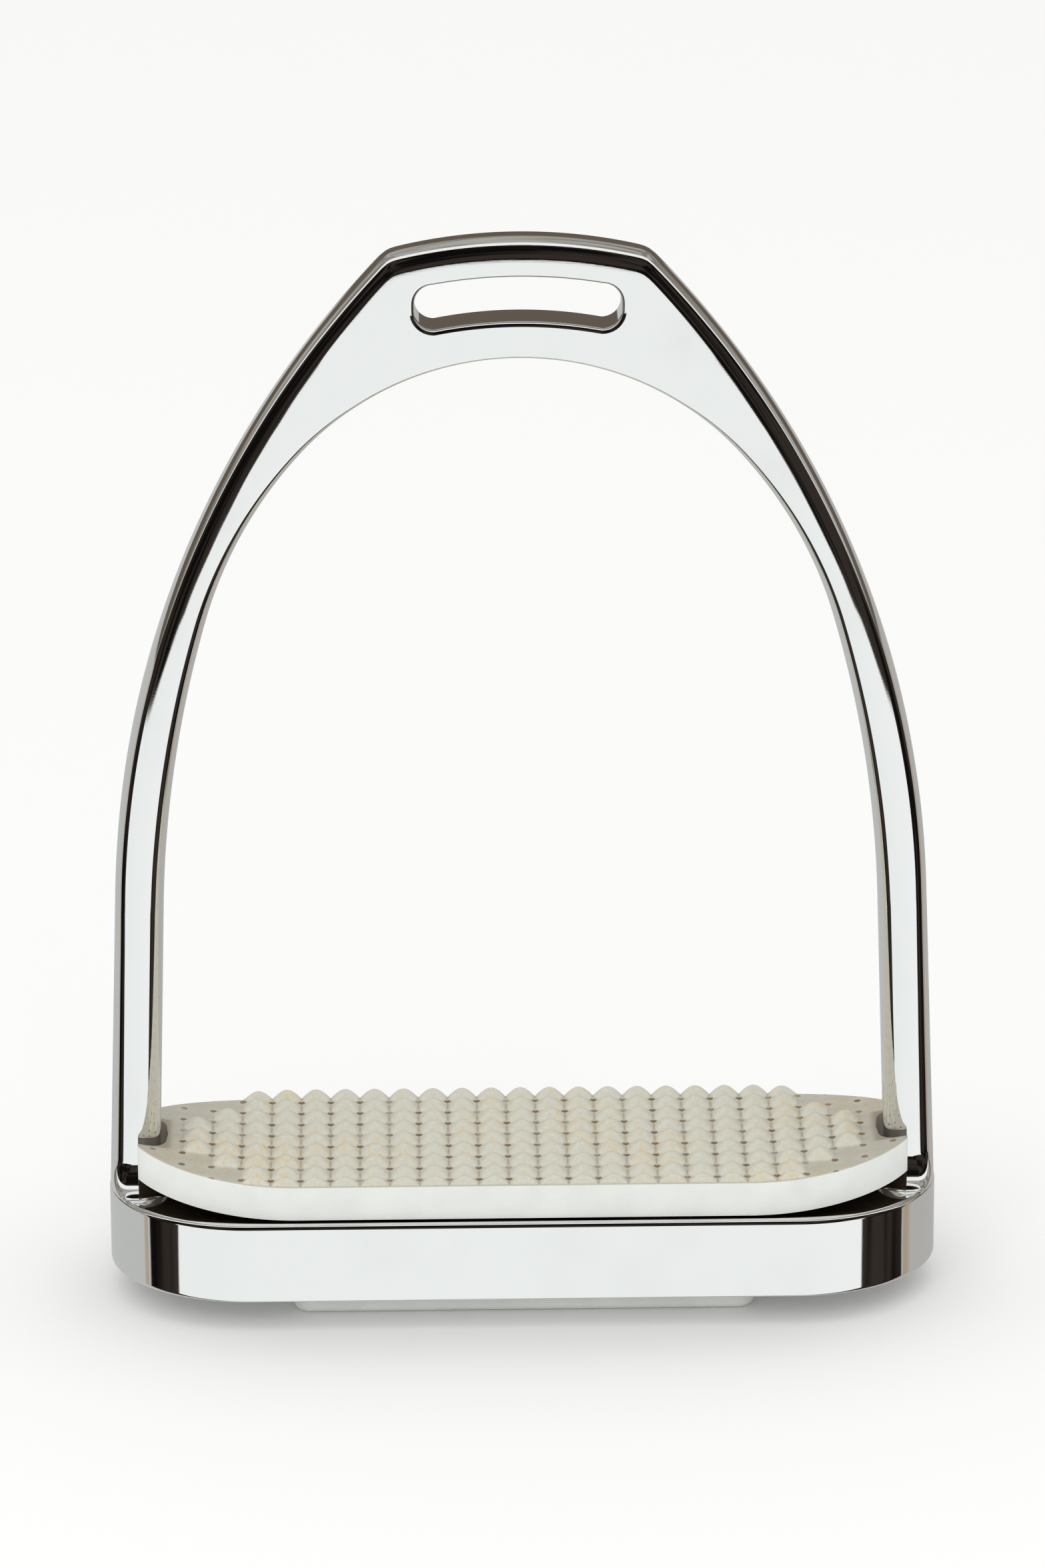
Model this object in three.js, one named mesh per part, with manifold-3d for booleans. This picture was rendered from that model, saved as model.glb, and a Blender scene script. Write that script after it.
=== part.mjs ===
// A stirrup iron of the Fillis pattern: one polished stainless steel frame, and one moulded
// rubber tread whose boss is pushed into the window of the footplate. Millimetres, +Z up.
// X runs across the foot, Y from the front (-Y) to the back. Z = 0 is what the stirrup
// stands on, the underside of the tread's boss, on the centre line of the footplate.

import * as THREE from 'three';
import { mergeVertices } from 'three/addons/utils/BufferGeometryUtils.js';
import Module from 'manifold-3d';

const wasm = await Module();
wasm.setup();

// ---- Driving dimensions ------------------------------------------------------------------

// Frame: heights are from the underside of the footplate.
const frameHeight = 180.4; // to the top of the eye
const clearWidth = 120; // between the branches, at the top of their straight stretch
const branchWidth = 8.15; // seen from the front, at the top of the straight stretch
const branchDepthFoot = 10; // along Y, where the branch leaves the footplate
const branchStraight = 63.5; // height where the inside edge leaves its straight stretch
const outerStraight = 67; // the same for the outside edge
const innerLean = 1.7; // degrees off vertical, inside edge of the straight stretch
const outerLean = 2; // degrees off vertical, outside edge of the straight stretch
const outerRounding = 3.3; // radius along the outside edges of the frame
const innerRounding = 4; // radius along the inside edges of the branches
const archInnerRounding = 0.9; // radius along the inside edges under the eye
const footFillet = 5; // where the branch runs out onto the footplate

// Arch, inside: two radii between the straight stretch and the crown of the arch.
const archCrownTighter = 12; // crown radius, less than half the clear width by this
const archHaunchWider = 15; // haunch radius, more than half the clear width by this
const archCrownAngle = 42; // degrees above horizontal, where the crown radius takes over

// Eye: the flat head with the slot for the stirrup leather.
const eyeWidth = 43.4; // corner to corner of the shoulders
const eyeThickness = 8; // along Y
const eyeHeight = 20.35; // from the arch to the top
const eyeTopRadius = 86; // shallow arch of the top, which the slot follows
const slotWidth = 34;
const slotHeight = 7.55;
const slotFloor = 6.35; // metal between the arch and the slot
const slotCornerRadius = 3.2;
const leatherSeat = 12; // flat along X in the middle of the slot's roof, where the leather bears

// Footplate
const plateDepth = 43.6;
const plateHeight = 14;
const plateEndRun = 24; // length along X of each rounded end
const plateEdge = 0.6; // broken edges
const windowLength = 78.6;
const windowDepth = 30.6;
const windowCorner = 3.3;

// Tread
const treadDepth = 40;
const treadEndRun = 29; // length along X of each rounded end
const treadEndCut = 2; // the rounded ends are cut off this far short of their full length
const treadFlangeHeight = 6;
const treadSweepRadius = 135; // the ends of the flange sweep up with this radius
const treadTipWidth = 3.6; // how far the two prongs at each end reach past the branch's face
const treadStandOut = 5; // how far the boss stands out under the footplate
const bossEdge = 1.2;
const nubPitch = 5;
const nubHeight = 1.7;
const treadBorder = 2; // smooth margin between the nubs and the rounded ends

// Clearances
const rootInset = 0.05; // the root of a branch lies this far inside the footplate's end wall
const bossClearance = 0.3; // all round, in the window
const seatGap = 0.3; // between the flange and the footplate
const notchClearance = 0.6; // between the notches and the feet of the branches

// ---- Derived places ----------------------------------------------------------------------

const rad = THREE.MathUtils.degToRad;
const plateUnder = treadStandOut;
const plateTop = plateUnder + plateHeight;
const straightTop = plateUnder + branchStraight;
const frameTop = plateUnder + frameHeight;
const archCrown = frameTop - eyeHeight;
const crownCentre = new THREE.Vector2(0, frameTop - eyeTopRadius);

/** Half width of the frame at height z on the straight stretch, inside and outside. */
function innerStraightX(z) {
  return clearWidth / 2 + (straightTop - z) * Math.tan(rad(innerLean));
}

function outerStraightX(z) {
  return clearWidth / 2 + branchWidth + (straightTop - z) * Math.tan(rad(outerLean));
}

const plateEndX = outerStraightX(plateTop - plateHeight / 4); // flush with the branches

// ---- Outline arcs of the arch, right half, in the XZ plane --------------------------------

const archCrownRadius = clearWidth / 2 - archCrownTighter;
const archHaunchRadius = clearWidth / 2 + archHaunchWider;

/** Direction of the normal at an angle above horizontal, pointing out of the opening. */
function outward(angle) {
  return new THREE.Vector2(Math.cos(angle), Math.sin(angle));
}

/** Radius of the circle that leaves `from` at a lean and is tangent inside a given circle. */
function blendRadius(from, lean, centre, radius) {
  const toFrom = from.clone().sub(centre);
  const inward = outward(lean).negate();
  return (radius ** 2 - toFrom.lengthSq()) / (2 * (inward.dot(toFrom) + radius));
}

const crownCircle = { centre: new THREE.Vector2(0, archCrown - archCrownRadius), r: archCrownRadius };
const haunchCircle = {
  centre: crownCircle.centre.clone().addScaledVector(
    outward(rad(archCrownAngle)), archCrownRadius - archHaunchRadius),
  r: archHaunchRadius,
};
const innerStart = new THREE.Vector2(clearWidth / 2, straightTop);
const sideRadius = blendRadius(innerStart, rad(innerLean), haunchCircle.centre, archHaunchRadius);
const sideCircle = {
  centre: innerStart.clone().addScaledVector(outward(rad(innerLean)), -sideRadius),
  r: sideRadius,
};
const haunchAngle = haunchCircle.centre.clone().sub(sideCircle.centre).angle();

// The outside edge is one arc from the straight stretch to the corner of the shoulder.
const shoulder = new THREE.Vector2(eyeWidth / 2, 0);
shoulder.y = crownCentre.y + Math.sqrt(eyeTopRadius ** 2 - shoulder.x ** 2);
const outerTop = plateUnder + outerStraight;
const outerStart = new THREE.Vector2(outerStraightX(outerTop), outerTop);
const toShoulder = shoulder.clone().sub(outerStart);
const outerRadius = toShoulder.lengthSq() / (-2 * outward(rad(outerLean)).dot(toShoulder));
const outerCircle = {
  centre: outerStart.clone().addScaledVector(outward(rad(outerLean)), -outerRadius),
  r: outerRadius,
};

/** How far a ray from inside a circle runs before it leaves the circle. */
function rayToCircle(from, direction, circle) {
  const offset = from.clone().sub(circle.centre);
  const b = offset.dot(direction);
  return Math.sqrt(b * b - offset.lengthSq() + circle.r ** 2) - b;
}

/** A rib from the inside edge to the outside edge, along the normal of the inside edge. */
function ribAt(circle, angle) {
  const direction = outward(angle);
  const start = circle.centre.clone().addScaledVector(direction, circle.r);
  const toTop = rayToCircle(start, direction, { centre: crownCentre, r: eyeTopRadius });
  const toSide = rayToCircle(start, direction, outerCircle);
  return { start, direction, width: Math.min(toTop, toSide) };
}

/** A level rib across the straight stretch, kept inside the end wall of the footplate. */
function levelRib(z) {
  const start = new THREE.Vector2(innerStraightX(z), z);
  const end = Math.min(outerStraightX(z), plateEndX - rootInset);
  return { start, direction: new THREE.Vector2(1, 0), width: end - start.x };
}

// ---- Solids ------------------------------------------------------------------------------

/** A manifold solid from a closed three.js geometry. */
function toSolid(geometry) {
  const bare = new THREE.BufferGeometry();
  bare.setAttribute('position', geometry.getAttribute('position').clone());
  if (geometry.index) bare.setIndex(geometry.index.clone());
  const merged = mergeVertices(bare, 1e-5);
  return new wasm.Manifold(new wasm.Mesh({
    numProp: 3,
    vertProperties: new Float32Array(merged.getAttribute('position').array),
    triVerts: new Uint32Array(merged.index.array),
  }));
}

/** A named mesh from a manifold solid. */
function toMesh(name, solid, material) {
  const { vertProperties, triVerts } = solid.getMesh();
  const geometry = new THREE.BufferGeometry();
  geometry.setAttribute('position', new THREE.BufferAttribute(vertProperties, 3));
  geometry.setIndex(new THREE.BufferAttribute(triVerts, 1));
  geometry.computeVertexNormals();
  const mesh = new THREE.Mesh(geometry, material);
  mesh.name = name;
  return mesh;
}

/** A shape in XY, extruded along Z from one height to another, with broken edges. */
function prism(shape, low, high, edge = 0) {
  const geometry = new THREE.ExtrudeGeometry(shape, {
    depth: high - low - 2 * edge,
    curveSegments: 18,
    bevelEnabled: edge > 0,
    bevelThickness: edge,
    bevelSize: edge,
    bevelOffset: -edge,
    bevelSegments: 1,
  });
  return toSolid(geometry.translate(0, 0, low + edge));
}

/** A skin through rings of points, closed by a fan over its first and last ring. */
function loft(rings) {
  const count = rings[0].length;
  const points = rings.flat();
  const faces = [];
  for (let ring = 0; ring + 1 < rings.length; ring += 1) {
    for (let k = 0; k < count; k += 1) {
      const a = ring * count + k;
      const b = ring * count + ((k + 1) % count);
      faces.push(a, b, a + count, b, b + count, a + count);
    }
  }
  for (let k = 1; k + 1 < count; k += 1) {
    const last = (rings.length - 1) * count;
    faces.push(0, k + 1, k, last, last + k, last + k + 1);
  }
  const geometry = new THREE.BufferGeometry().setFromPoints(points);
  return toSolid(geometry.setIndex(faces));
}

/** A rectangle with rounded corners, centred on the origin. */
function roundedRectangle(length, depth, radius, Kind = THREE.Shape) {
  const x = length / 2 - radius;
  const y = depth / 2 - radius;
  const path = new Kind();
  path.absarc(x, y, radius, 0, Math.PI / 2, false);
  path.absarc(-x, y, radius, Math.PI / 2, Math.PI, false);
  path.absarc(-x, -y, radius, Math.PI, 1.5 * Math.PI, false);
  path.absarc(x, -y, radius, 1.5 * Math.PI, 2 * Math.PI, false);
  return path.closePath();
}

// ---- Frame -------------------------------------------------------------------------------

const cornerSteps = 4;

/** A quarter-circle of points round a corner, from an angle on. */
function quarter(u, y, radius, from) {
  return Array.from({ length: cornerSteps + 1 }, (_, step) => {
    const angle = from + (step / cornerSteps) * (Math.PI / 2);
    return [u + radius * Math.cos(angle), y + radius * Math.sin(angle)];
  });
}

/**
 * Cross-section of the frame on a rib, right half. The corners are rounded by `outer` and
 * `inner`, `flare` spreads the section for the fillet at the foot, and `wrap` bends its
 * outside face to the curve of the footplate's end.
 */
function section(rib, { half, outer, inner, flare = 0, wrap = 0 }) {
  const reach = half + flare;
  const round = Math.min(inner + flare, reach);
  const face = reach - outer;
  const outline = [
    ...quarter(rib.width - outer, -face, outer, -Math.PI / 2),
    ...[-0.5, 0, 0.5].map((part) => [rib.width, part * face]),
    ...quarter(rib.width - outer, face, outer, 0),
    ...quarter(round - flare, reach - round, round, Math.PI / 2),
    ...quarter(round - flare, round - reach, round, Math.PI),
  ];
  return outline.map(([u, y]) => {
    const bend = plateEndRun * (1 - Math.sqrt(1 - ((2 * y) / plateDepth) ** 2));
    const share = THREE.MathUtils.clamp(u / rib.width, 0, 1);
    const point = rib.start.clone().addScaledVector(rib.direction, u - wrap * share * bend);
    return new THREE.Vector3(point.x, y, point.y);
  });
}

/** Sections from inside the footplate up the fillet and the straight stretch of a branch. */
function branchSections() {
  const sections = [];
  const plain = { half: branchDepthFoot / 2, outer: outerRounding, inner: innerRounding };
  const rooted = { ...plain, outer: plateEdge, wrap: 1.01 };
  const shallow = 75; // degrees: the fillet stops short of level, then dips into the plate
  const dip = 0.3;
  const spread = footFillet * (1 - Math.cos(rad(shallow)));
  const rim = plateTop + footFillet * (1 - Math.sin(rad(shallow)));
  const dipRun = (rim - plateTop + dip) / Math.tan(rad(90 - shallow));
  sections.push(section(levelRib(plateTop - plateHeight / 2), rooted));
  sections.push(section(levelRib(plateTop - dip), { ...rooted, flare: spread + dipRun }));
  for (let angle = shallow; angle >= 0; angle -= 15) {
    const z = plateTop + footFillet * (1 - Math.sin(rad(angle)));
    const risen = 1 - angle / shallow;
    sections.push(section(levelRib(z), {
      ...plain,
      outer: THREE.MathUtils.lerp(plateEdge, outerRounding, risen),
      flare: footFillet * (1 - Math.cos(rad(angle))),
      wrap: 1,
    }));
  }
  for (const part of [0.35, 0.7]) {
    const z = THREE.MathUtils.lerp(plateTop + footFillet, straightTop, part);
    sections.push(section(levelRib(z), { ...plain, wrap: 1 - part }));
  }
  return sections;
}

/** Sections round the arch, from the straight stretch to the centre of the eye. */
function archSections() {
  const sections = [];
  const shoulderAngle = shoulder.clone().sub(crownCircle.centre).angle();
  const stretches = [
    [sideCircle, rad(innerLean), haunchAngle, 6],
    [haunchCircle, haunchAngle, rad(archCrownAngle), 6],
    [crownCircle, rad(archCrownAngle), shoulderAngle, 5],
    [crownCircle, shoulderAngle, Math.PI / 2, 5],
  ];
  for (const [circle, from, to, steps] of stretches) {
    for (let step = 0; step < steps; step += 1) {
      const angle = THREE.MathUtils.lerp(from, to, step / steps);
      const rise = angle / (Math.PI / 2);
      sections.push(section(ribAt(circle, angle), {
        half: THREE.MathUtils.lerp(branchDepthFoot, eyeThickness, Math.min(1, 1.6 * rise)) / 2,
        outer: outerRounding,
        inner: THREE.MathUtils.lerp(innerRounding, archInnerRounding, Math.min(1, 1.6 * rise)),
      }));
    }
  }
  return sections;
}

/** The arch: both branches, the shoulders and the eye, as one skin over mirrored halves. */
function arch() {
  const right = [...branchSections(), ...archSections()];
  const crown = section(ribAt(crownCircle, Math.PI / 2), {
    half: eyeThickness / 2, outer: outerRounding, inner: archInnerRounding,
  });
  const mirrored = (ring) => ring.map((point) => new THREE.Vector3(-point.x, point.y, point.z));
  const left = right.map(mirrored).reverse();
  return loft([...right, crown, ...left]);
}

/** Outline of the footplate: straight sides and half-elliptical ends. */
function plateOutline() {
  const centre = plateEndX - plateEndRun;
  const shape = new THREE.Shape();
  shape.absellipse(centre, 0, plateEndRun, plateDepth / 2, -Math.PI / 2, Math.PI / 2, false, 0);
  shape.absellipse(-centre, 0, plateEndRun, plateDepth / 2, Math.PI / 2, 1.5 * Math.PI, false, 0);
  return shape.closePath();
}

function footplate() {
  const shape = plateOutline();
  shape.holes.push(roundedRectangle(windowLength, windowDepth, windowCorner, THREE.Path));
  return prism(shape, plateUnder, plateTop, plateEdge);
}

/** The slot for the leather: its floor and roof follow the arched top of the eye. */
function leatherSlot() {
  const floor = archCrown + slotFloor;
  const roof = floor + slotHeight;
  const cornerX = slotWidth / 2 - slotCornerRadius;
  const onArc = (x, height) => {
    const radius = height - crownCentre.y;
    return new THREE.Vector2(x, crownCentre.y + Math.sqrt(radius ** 2 - x ** 2));
  };
  const turn = (centreZ, from) => Array.from({ length: cornerSteps + 1 }, (_, step) => {
    const angle = from + (step / cornerSteps) * (Math.PI / 2);
    return new THREE.Vector2(cornerX, centreZ).addScaledVector(outward(angle), slotCornerRadius);
  });
  const right = [
    onArc(cornerX / 5, floor),
    onArc((3 * cornerX) / 5, floor),
    ...turn(onArc(cornerX, floor).y + slotCornerRadius, -Math.PI / 2),
    ...turn(onArc(cornerX, roof).y - slotCornerRadius, 0),
    onArc((cornerX + leatherSeat / 2) / 2, roof),
    onArc(leatherSeat / 2, roof),
  ];
  const left = right.map((point) => new THREE.Vector2(-point.x, point.y)).reverse();
  const cutter = new THREE.ExtrudeGeometry(new THREE.Shape([...right, ...left]), {
    depth: 2 * eyeThickness,
    bevelEnabled: false,
  });
  cutter.translate(0, 0, -eyeThickness);
  cutter.rotateX(Math.PI / 2);
  return toSolid(cutter);
}

function stirrupFrame() {
  return arch().add(footplate()).subtract(leatherSlot());
}

// ---- Tread -------------------------------------------------------------------------------

const flangeUnder = plateTop + seatGap;
const flangeTop = flangeUnder + treadFlangeHeight;

// The notches clear the fillet at the height where the swept-up flange meets it.
const treadFlat = innerStraightX(plateTop) + treadTipWidth + treadEndCut - treadEndRun;
const notchHeight = flangeUnder + sweep(innerStraightX(plateTop));
const filletLeft = Math.max(0, plateTop + footFillet - notchHeight);
const filletSpread = footFillet - Math.sqrt(footFillet ** 2 - filletLeft ** 2);
const notchX = innerStraightX(notchHeight) - filletSpread - notchClearance;
const notchHalf = branchDepthFoot / 2 + filletSpread + notchClearance;
const notchRadius = Math.min(innerRounding, notchHalf - 0.5);
const tipX = innerStraightX(notchHeight) + treadTipWidth;

/** How far the flange has risen at x: an arc that starts where the rounded ends start. */
function sweep(x) {
  const past = Math.max(0, Math.abs(x) - treadFlat);
  return past ** 2 / (2 * treadSweepRadius);
}

/** Outline of the flange: half-elliptical ends, cut off at the tips and notched. */
function treadOutline() {
  const half = treadDepth / 2;
  const cut = Math.acos((tipX - treadFlat) / treadEndRun);
  const shape = new THREE.Shape();
  for (const side of [1, -1]) {
    const turn = side === 1 ? 0 : Math.PI;
    shape.absellipse(side * treadFlat, 0, treadEndRun, half,
      turn - Math.PI / 2, turn - cut, false, 0);
    shape.lineTo(side * tipX, -side * notchHalf);
    shape.absarc(side * (notchX + notchRadius), -side * (notchHalf - notchRadius), notchRadius,
      turn - Math.PI / 2, turn - Math.PI, true);
    shape.absarc(side * (notchX + notchRadius), side * (notchHalf - notchRadius), notchRadius,
      turn + Math.PI, turn + Math.PI / 2, true);
    shape.lineTo(side * tipX, side * notchHalf);
    shape.absellipse(side * treadFlat, 0, treadEndRun, half,
      turn + cut, turn + Math.PI / 2, false, 0);
  }
  return shape.closePath();
}

/**
 * Whether (x, y) has a nub. The rows are whole between the rounded ends and two nubs into
 * them, and past that a nub needs its cell inside the border and clear of the notches.
 */
function hasNub(x, y) {
  const cellX = Math.abs(Math.round(x / nubPitch) * nubPitch) + nubPitch / 2;
  if (cellX <= treadFlat + 2 * nubPitch) return true;
  const rowY = Math.abs(Math.round(y / nubPitch) * nubPitch);
  const past = Math.max(0, cellX - treadFlat) / (treadEndRun - treadBorder);
  const across = (rowY + nubPitch / 2) / (treadDepth / 2 - treadBorder);
  const besideNotch = rowY - nubPitch / 2 < notchHalf + treadBorder;
  return past ** 2 + across ** 2 <= 1 && !(besideNotch && cellX > notchX - treadBorder);
}

/** A slab whose top is the grid of nubs, from half a pitch outside the flange all round. */
function nubSlab() {
  const stepsX = 4 * Math.ceil(tipX / nubPitch) + 4;
  const stepsY = 4 * Math.ceil(treadDepth / 2 / nubPitch) + 2;
  const step = nubPitch / 2;
  const rows = [];
  for (let j = 0; j <= stepsY; j += 1) {
    const top = [];
    const under = [];
    for (let i = 0; i <= stepsX; i += 1) {
      const x = (i - stepsX / 2) * step;
      const y = (j - stepsY / 2) * step;
      const onCrest = i % 2 === (stepsX / 2) % 2 && j % 2 === (stepsY / 2) % 2;
      const high = onCrest && hasNub(x, y) ? nubHeight : 0;
      top.push(new THREE.Vector3(x, y, flangeTop + sweep(x) + high));
      under.push(new THREE.Vector3(x, y, plateUnder));
    }
    rows.push([...top, ...under.reverse()]);
  }
  return gridSlab(rows);
}

/** A closed slab from rows that each run along the top and back underneath. */
function gridSlab(rows) {
  const count = rows[0].length;
  const faces = [];
  for (let j = 0; j + 1 < rows.length; j += 1) {
    for (let k = 0; k < count; k += 1) {
      const a = j * count + k;
      const b = j * count + ((k + 1) % count);
      faces.push(a, b, a + count, b, b + count, a + count);
    }
  }
  for (const [row, flip] of [[0, false], [rows.length - 1, true]]) {
    for (let k = 0; k + 1 < count / 2; k += 1) {
      const a = row * count + k;
      const b = a + 1;
      const c = row * count + count - 1 - k;
      const d = c - 1;
      faces.push(...(flip ? [a, b, c, b, d, c] : [a, c, b, b, c, d]));
    }
  }
  const geometry = new THREE.BufferGeometry().setFromPoints(rows.flat());
  return toSolid(geometry.setIndex(faces));
}

/** What lies under the flange, so that its underside sweeps up with its top. */
function underFlange() {
  const steps = 12;
  const reach = tipX + nubPitch;
  const shape = new THREE.Shape();
  shape.moveTo(-reach, plateUnder);
  shape.lineTo(reach, plateUnder);
  for (let k = 0; k <= steps; k += 1) {
    const x = THREE.MathUtils.lerp(reach, treadFlat, k / steps);
    shape.lineTo(x, flangeUnder + sweep(x));
  }
  for (let k = steps; k >= 0; k -= 1) {
    const x = THREE.MathUtils.lerp(reach, treadFlat, k / steps);
    shape.lineTo(-x, flangeUnder + sweep(x));
  }
  const geometry = new THREE.ExtrudeGeometry(shape.closePath(), {
    depth: 2 * treadDepth, bevelEnabled: false,
  });
  geometry.translate(0, 0, -treadDepth);
  geometry.rotateX(Math.PI / 2);
  return toSolid(geometry);
}

/** The boss that fills the window and stands out under the footplate. */
function treadBoss() {
  const length = windowLength - 2 * bossClearance;
  const depth = windowDepth - 2 * bossClearance;
  const shape = roundedRectangle(length, depth, windowCorner - bossClearance);
  return prism(shape, plateUnder - treadStandOut, flangeUnder + treadFlangeHeight / 2, bossEdge);
}

function rubberTread() {
  const outline = prism(treadOutline(), plateUnder, frameTop);
  return nubSlab().intersect(outline).subtract(underFlange()).add(treadBoss());
}

// ---- Assembly ----------------------------------------------------------------------------

const steel = new THREE.MeshStandardMaterial({ color: 0xd0d3d4, metalness: 1, roughness: 0.12 });
const rubber = new THREE.MeshStandardMaterial({ color: 0xd2d0c2, metalness: 0, roughness: 0.75 });

const stirrup = new THREE.Group();
stirrup.add(toMesh('stirrup_frame', stirrupFrame(), steel));
stirrup.add(toMesh('rubber_tread', rubberTread(), rubber));

export default stirrup;
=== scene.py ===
"""Stirrup iron: polished stainless steel frame and white rubber tread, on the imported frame."""

import math

import bmesh
import bpy
import numpy as np
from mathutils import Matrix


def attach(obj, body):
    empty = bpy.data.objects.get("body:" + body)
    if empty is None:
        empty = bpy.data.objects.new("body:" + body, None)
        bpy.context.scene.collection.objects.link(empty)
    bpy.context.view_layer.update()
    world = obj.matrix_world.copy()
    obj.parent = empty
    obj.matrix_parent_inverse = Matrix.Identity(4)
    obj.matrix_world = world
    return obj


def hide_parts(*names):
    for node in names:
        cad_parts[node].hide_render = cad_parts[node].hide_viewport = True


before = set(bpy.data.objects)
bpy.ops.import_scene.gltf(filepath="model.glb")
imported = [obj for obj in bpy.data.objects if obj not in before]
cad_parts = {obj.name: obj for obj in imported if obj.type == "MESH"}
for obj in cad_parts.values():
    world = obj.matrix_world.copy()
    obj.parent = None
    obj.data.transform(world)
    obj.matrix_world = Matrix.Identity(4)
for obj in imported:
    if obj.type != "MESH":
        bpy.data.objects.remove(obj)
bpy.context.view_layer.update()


# Steel frame, the arch. One stainless casting: the eye with its slot, the shoulders and the two
# branches. It is ground all over and mirror-polished, so that no edge is left sharp.

MM = 0.001

plate_under = 5.0
plate_height = 14.0
plate_top = plate_under + plate_height
plate_end = 70.0
plate_half_depth = 21.8
plate_end_run = 24.0

frame_top = 185.4
straight_top = 68.5
outer_top = 72.0
half_clear = 60.0
branch_width = 8.15
inner_lean = math.radians(1.7)
outer_lean = math.radians(2.0)
crown_radius = 48.0
haunch_radius = 75.0
crown_angle = math.radians(42)
eye_height = 20.35
eye_half_width = 21.7
eye_top_radius = 86.0
eye_half_thickness = 4.0
foot_half_depth = 5.0
foot_fillet = 5.0
root_inset = 0.05

arch_crown = frame_top - eye_height
top_centre = np.array([0.0, frame_top - eye_top_radius])


def normal_at(angle):
    """Unit vector (x, z) at an angle above horizontal."""
    return np.stack([np.cos(angle), np.sin(angle)], -1)


def circle_from(start, lean, through):
    """Centre and radius of the circle that leaves start at a lean and passes a point:
    r = |d|^2 / (-2 n.d), with d from start to the point and n the outward normal at start."""
    step = np.subtract(through, start)
    radius = (step @ step) / (-2 * normal_at(lean) @ step)
    return np.asarray(start) - radius * normal_at(lean), radius


crown_centre = np.array([0.0, arch_crown - crown_radius])
haunch_centre = crown_centre + (crown_radius - haunch_radius) * normal_at(crown_angle)
inner_start = np.array([half_clear, straight_top])
from_haunch = inner_start - haunch_centre
side_radius = (haunch_radius**2 - from_haunch @ from_haunch) / (
    2 * (haunch_radius - normal_at(inner_lean) @ from_haunch)
)
side_centre = inner_start - side_radius * normal_at(inner_lean)
haunch_angle = math.atan2(*(haunch_centre - side_centre)[::-1])
shoulder = np.array(
    [eye_half_width, top_centre[1] + math.sqrt(eye_top_radius**2 - eye_half_width**2)]
)
outer_start = half_clear + branch_width + (straight_top - outer_top) * math.tan(outer_lean)
outer_centre, outer_radius = circle_from([outer_start, outer_top], outer_lean, shoulder)


def ray_length(start, direction, centre, radius):
    """Length of each ray from inside a circle to the circle: sqrt(b^2 - |o|^2 + r^2) - b,
    with o from the centre to the start and b the part of o along the ray."""
    offset = start - centre
    along = np.sum(offset * direction, -1)
    return np.sqrt(along**2 - np.sum(offset**2, -1) + radius**2) - along


def arch_ribs(centre, radius, angles, blend=0.35):
    """Ribs along the normal of an inside arc, out to the softer minimum of the distances to
    the top arc and to the side arc: -k log(exp(-a/k) + exp(-b/k))."""
    direction = normal_at(angles)
    start = centre + radius * direction
    to_top = ray_length(start, direction, top_centre, eye_top_radius)
    to_side = ray_length(start, direction, outer_centre, outer_radius)
    width = -blend * np.logaddexp(-to_top / blend, -to_side / blend)
    return start, direction, width


def level_ribs(z):
    """Level ribs across the straight stretch, between its two leaning edges."""
    inner = half_clear + (straight_top - z) * math.tan(inner_lean)
    outer = half_clear + branch_width + (straight_top - z) * math.tan(outer_lean)
    outer = np.minimum(outer, plate_end - root_inset)
    start = np.stack([inner, z], -1)
    return start, np.broadcast_to([1.0, 0.0], start.shape), outer - inner


def ramp(low, high, part):
    """Straight change from low to high as part goes from 0 to 1, held outside that."""
    return low + (high - low) * np.clip(part, 0, 1)


def branch_stations():
    """Ribs and section sizes from inside the footplate, up the fillet and round to the crown.
    The fillet is a quarter circle: spread f(1 - cos a) at height f(1 - sin a)."""
    turn = np.radians(np.linspace(84, 0, 22))
    z = [plate_top - 7, plate_top - 0.1, *(plate_top + foot_fillet * (1 - np.sin(turn)))]
    spread = foot_fillet * (1 - np.cos(turn))
    flare = [0.0, spread[0] + 1.1, *spread]
    risen = [0.0, 0.0, *np.linspace(0, 1, turn.size)]
    foot_z = plate_top + foot_fillet
    climb = np.linspace(foot_z, straight_top, 30)[1:]
    z = np.array([*z, *climb])
    flare = np.array([*flare, *np.zeros(climb.size)])
    risen = np.array([*risen, *np.ones(climb.size)])
    wrap = 1 - np.clip((z - foot_z) / (straight_top - foot_z), 0, 1)
    parts = [(*level_ribs(z), flare, risen, wrap, np.zeros(z.size))]
    shoulder_angle = math.atan2(*(shoulder - crown_centre)[::-1])
    for centre, radius, low, high, steps in [
        (side_centre, side_radius, inner_lean, haunch_angle, 40),
        (haunch_centre, haunch_radius, haunch_angle, crown_angle, 30),
        (crown_centre, crown_radius, crown_angle, shoulder_angle, 32),
        (crown_centre, crown_radius, shoulder_angle, math.pi / 2, 28),
    ]:
        angle = np.linspace(low, high, steps + 1)[1:]
        none = np.zeros(steps)
        rise = angle / (math.pi / 2)
        parts.append((*arch_ribs(centre, radius, angle), none, none + 1, none, rise))
    return [np.concatenate(column) for column in zip(*parts)]


def quarter_turn(u, y, radius, start, steps=10):
    """Points (u + r cos a, y + r sin a) round a corner of every section, a over 90 degrees."""
    angle = np.radians(start + np.linspace(0, 90, steps + 1))
    return (
        u[:, None] + radius[:, None] * np.cos(angle),
        y[:, None] + radius[:, None] * np.sin(angle),
    )


def run_between(first, last, steps):
    """Points on the straight face between two corners, without its two ends."""
    part = np.linspace(0, 1, steps + 1)[1:-1]
    return tuple(a[:, -1:] + (b[:, :1] - a[:, -1:]) * part for a, b in zip(first, last))


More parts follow.
